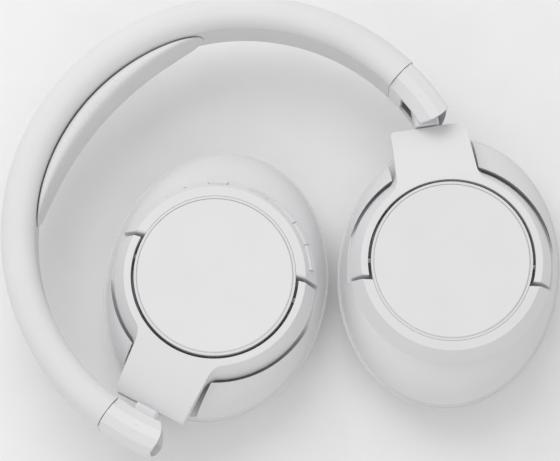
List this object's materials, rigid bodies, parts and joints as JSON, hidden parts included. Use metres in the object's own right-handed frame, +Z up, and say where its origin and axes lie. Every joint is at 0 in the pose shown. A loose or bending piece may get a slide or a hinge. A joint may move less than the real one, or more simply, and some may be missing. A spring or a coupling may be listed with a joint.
{
  "type": "over-ear headphones",
  "caption": "Folding wireless over-ear headphones lying flat: curved padded band, size sliders, fold hinges, yokes and oval cups with round outer discs and soft oval cushions.",
  "frame": {"origin": "middle of the whole object's footprint, on the surface it lies on", "axes": "+Z up out of the cups' outer faces; +Y towards the headband's crown; +X towards the wearer's left cup"},
  "size_m": [0.1746, 0.195, 0.042],
  "materials": {
    "band_plastic": "matte, softly textured",
    "pad_leather": "fine grain",
    "steel": "brushed",
    "cable_sleeve": "matte",
    "satin_plastic": "satin",
    "cup_plastic": "fine matte",
    "housing_plastic": "fine matte",
    "disc_plastic": "fine matte",
    "screw_steel": "blackened",
    "inner_plastic": "moulded",
    "magnet_steel": "plated",
    "diaphragm_film": "film",
    "mesh_fabric": "fine weave",
    "cushion_leather": "fine grain",
    "button_plastic": "satin",
    "cover_rubber": "matte",
    "circuit_board": "solder mask",
    "socket_metal": "drawn",
    "light_pipe": "clear white",
    "battery_foil": "foil"
  },
  "bodies": {
    "headband": {"headband_shell": "band_plastic", "headband_liner": "band_plastic", "crown_pad": "pad_leather", "spring_strip": "steel", "band_cable": "cable_sleeve"},
    "right_slider": {"right_slider_arm": "steel", "right_end_cap": "satin_plastic", "right_fold_pin": "steel"},
    "right_knuckle": {"right_fold_knuckle": "satin_plastic", "right_swivel_shaft": "steel", "right_swivel_clip": "steel"},
    "right_yoke": {"right_yoke_shell": "cup_plastic", "right_yoke_cover": "cup_plastic", "right_yoke_screws": "screw_steel", "right_tilt_pins": "steel"},
    "right_cup": {"right_rear_housing": "housing_plastic", "right_outer_disc": "disc_plastic", "right_baffle": "inner_plastic", "right_housing_screws": "screw_steel", "right_driver_frame": "inner_plastic", "right_driver_magnet": "magnet_steel", "right_diaphragm": "diaphragm_film", "right_dust_mesh": "mesh_fabric", "right_cushion_mount": "inner_plastic", "right_ear_cushion": "cushion_leather", "right_ring": "cup_plastic", "key_board": "circuit_board", "charge_socket": "socket_metal", "status_light": "light_pipe", "microphone_mesh": "mesh_fabric", "main_board": "circuit_board"},
    "volume_up_button": {"volume_up_button": "button_plastic"},
    "mode_button": {"mode_button": "button_plastic"},
    "volume_down_button": {"volume_down_button": "button_plastic"},
    "power_button": {"power_button": "button_plastic"},
    "port_cover": {"port_cover": "cover_rubber"},
    "left_slider": {"left_slider_arm": "steel", "left_end_cap": "satin_plastic", "left_fold_pin": "steel"},
    "left_knuckle": {"left_fold_knuckle": "satin_plastic", "left_swivel_shaft": "steel", "left_swivel_clip": "steel"},
    "left_yoke": {"left_yoke_shell": "cup_plastic", "left_yoke_cover": "cup_plastic", "left_yoke_screws": "screw_steel", "left_tilt_pins": "steel"},
    "left_cup": {"left_rear_housing": "housing_plastic", "left_outer_disc": "disc_plastic", "left_baffle": "inner_plastic", "left_housing_screws": "screw_steel", "left_driver_frame": "inner_plastic", "left_driver_magnet": "magnet_steel", "left_diaphragm": "diaphragm_film", "left_dust_mesh": "mesh_fabric", "left_cushion_mount": "inner_plastic", "left_ear_cushion": "cushion_leather", "left_ring": "cup_plastic", "battery": "battery_foil", "battery_board": "circuit_board"}
  },
  "joints": [
    {"name": "right_size_slide", "type": "slide", "parent": "headband", "child": "right_slider", "axis": [0.0698, -0.9976, 0], "range_m": [0, 0.003]},
    {"name": "right_fold", "type": "hinge", "parent": "right_slider", "child": "right_knuckle", "pos_m": [-0.07963, -0.00714, 0.0285], "axis": [0, 0, 1], "range_deg": [-3, 0]},
    {"name": "right_swivel", "type": "hinge", "parent": "right_knuckle", "child": "right_yoke", "pos_m": [-0.07963, -0.00714, 0.0285], "axis": [0.9728, 0.2317, 0], "range_deg": [0, 95]},
    {"name": "right_tilt", "type": "hinge", "parent": "right_yoke", "child": "right_cup", "pos_m": [-0.01961, 0.00716, 0.034], "axis": [0.4163, -0.9092, 0], "range_deg": [-1.5, 6]},
    {"name": "volume_up_press", "type": "slide", "parent": "right_cup", "child": "volume_up_button", "axis": [-0.8819, 0.0974, -0.4614], "range_m": [0, 0.0004], "stiffness_N_per_m": 400},
    {"name": "mode_press", "type": "slide", "parent": "right_cup", "child": "mode_button", "axis": [-0.8203, 0.3381, -0.4614], "range_m": [0, 0.0004], "stiffness_N_per_m": 400},
    {"name": "volume_down_press", "type": "slide", "parent": "right_cup", "child": "volume_down_button", "axis": [-0.7001, 0.545, -0.4614], "range_m": [0, 0.0004], "stiffness_N_per_m": 400},
    {"name": "power_press", "type": "slide", "parent": "right_cup", "child": "power_button", "axis": [-0.6919, -0.5553, -0.4614], "range_m": [0, 0.0004], "stiffness_N_per_m": 400},
    {"name": "port_cover_hinge", "type": "hinge", "parent": "right_cup", "child": "port_cover", "pos_m": [0.01334, 0.01485, 0.03814], "axis": [0.2275, -0.9738, 0], "range_deg": [0, 100]},
    {"name": "left_size_slide", "type": "slide", "parent": "headband", "child": "left_slider", "axis": [-0.0698, -0.9976, 0], "range_m": [0, 0.02]},
    {"name": "left_fold", "type": "hinge", "parent": "left_slider", "child": "left_knuckle", "pos_m": [0.07963, -0.00714, 0.0285], "axis": [0, 0, -1], "range_deg": [-28.5, 2.5]},
    {"name": "left_swivel", "type": "hinge", "parent": "left_knuckle", "child": "left_yoke", "pos_m": [0.07963, -0.00714, 0.0285], "axis": [0.6534, 0.757, 0], "range_deg": [0, 95]},
    {"name": "left_tilt", "type": "hinge", "parent": "left_yoke", "child": "left_cup", "pos_m": [0.03931, -0.05385, 0.034], "axis": [-0.6157, 0.788, 0], "range_deg": [-1.5, 6]}
  ]
}
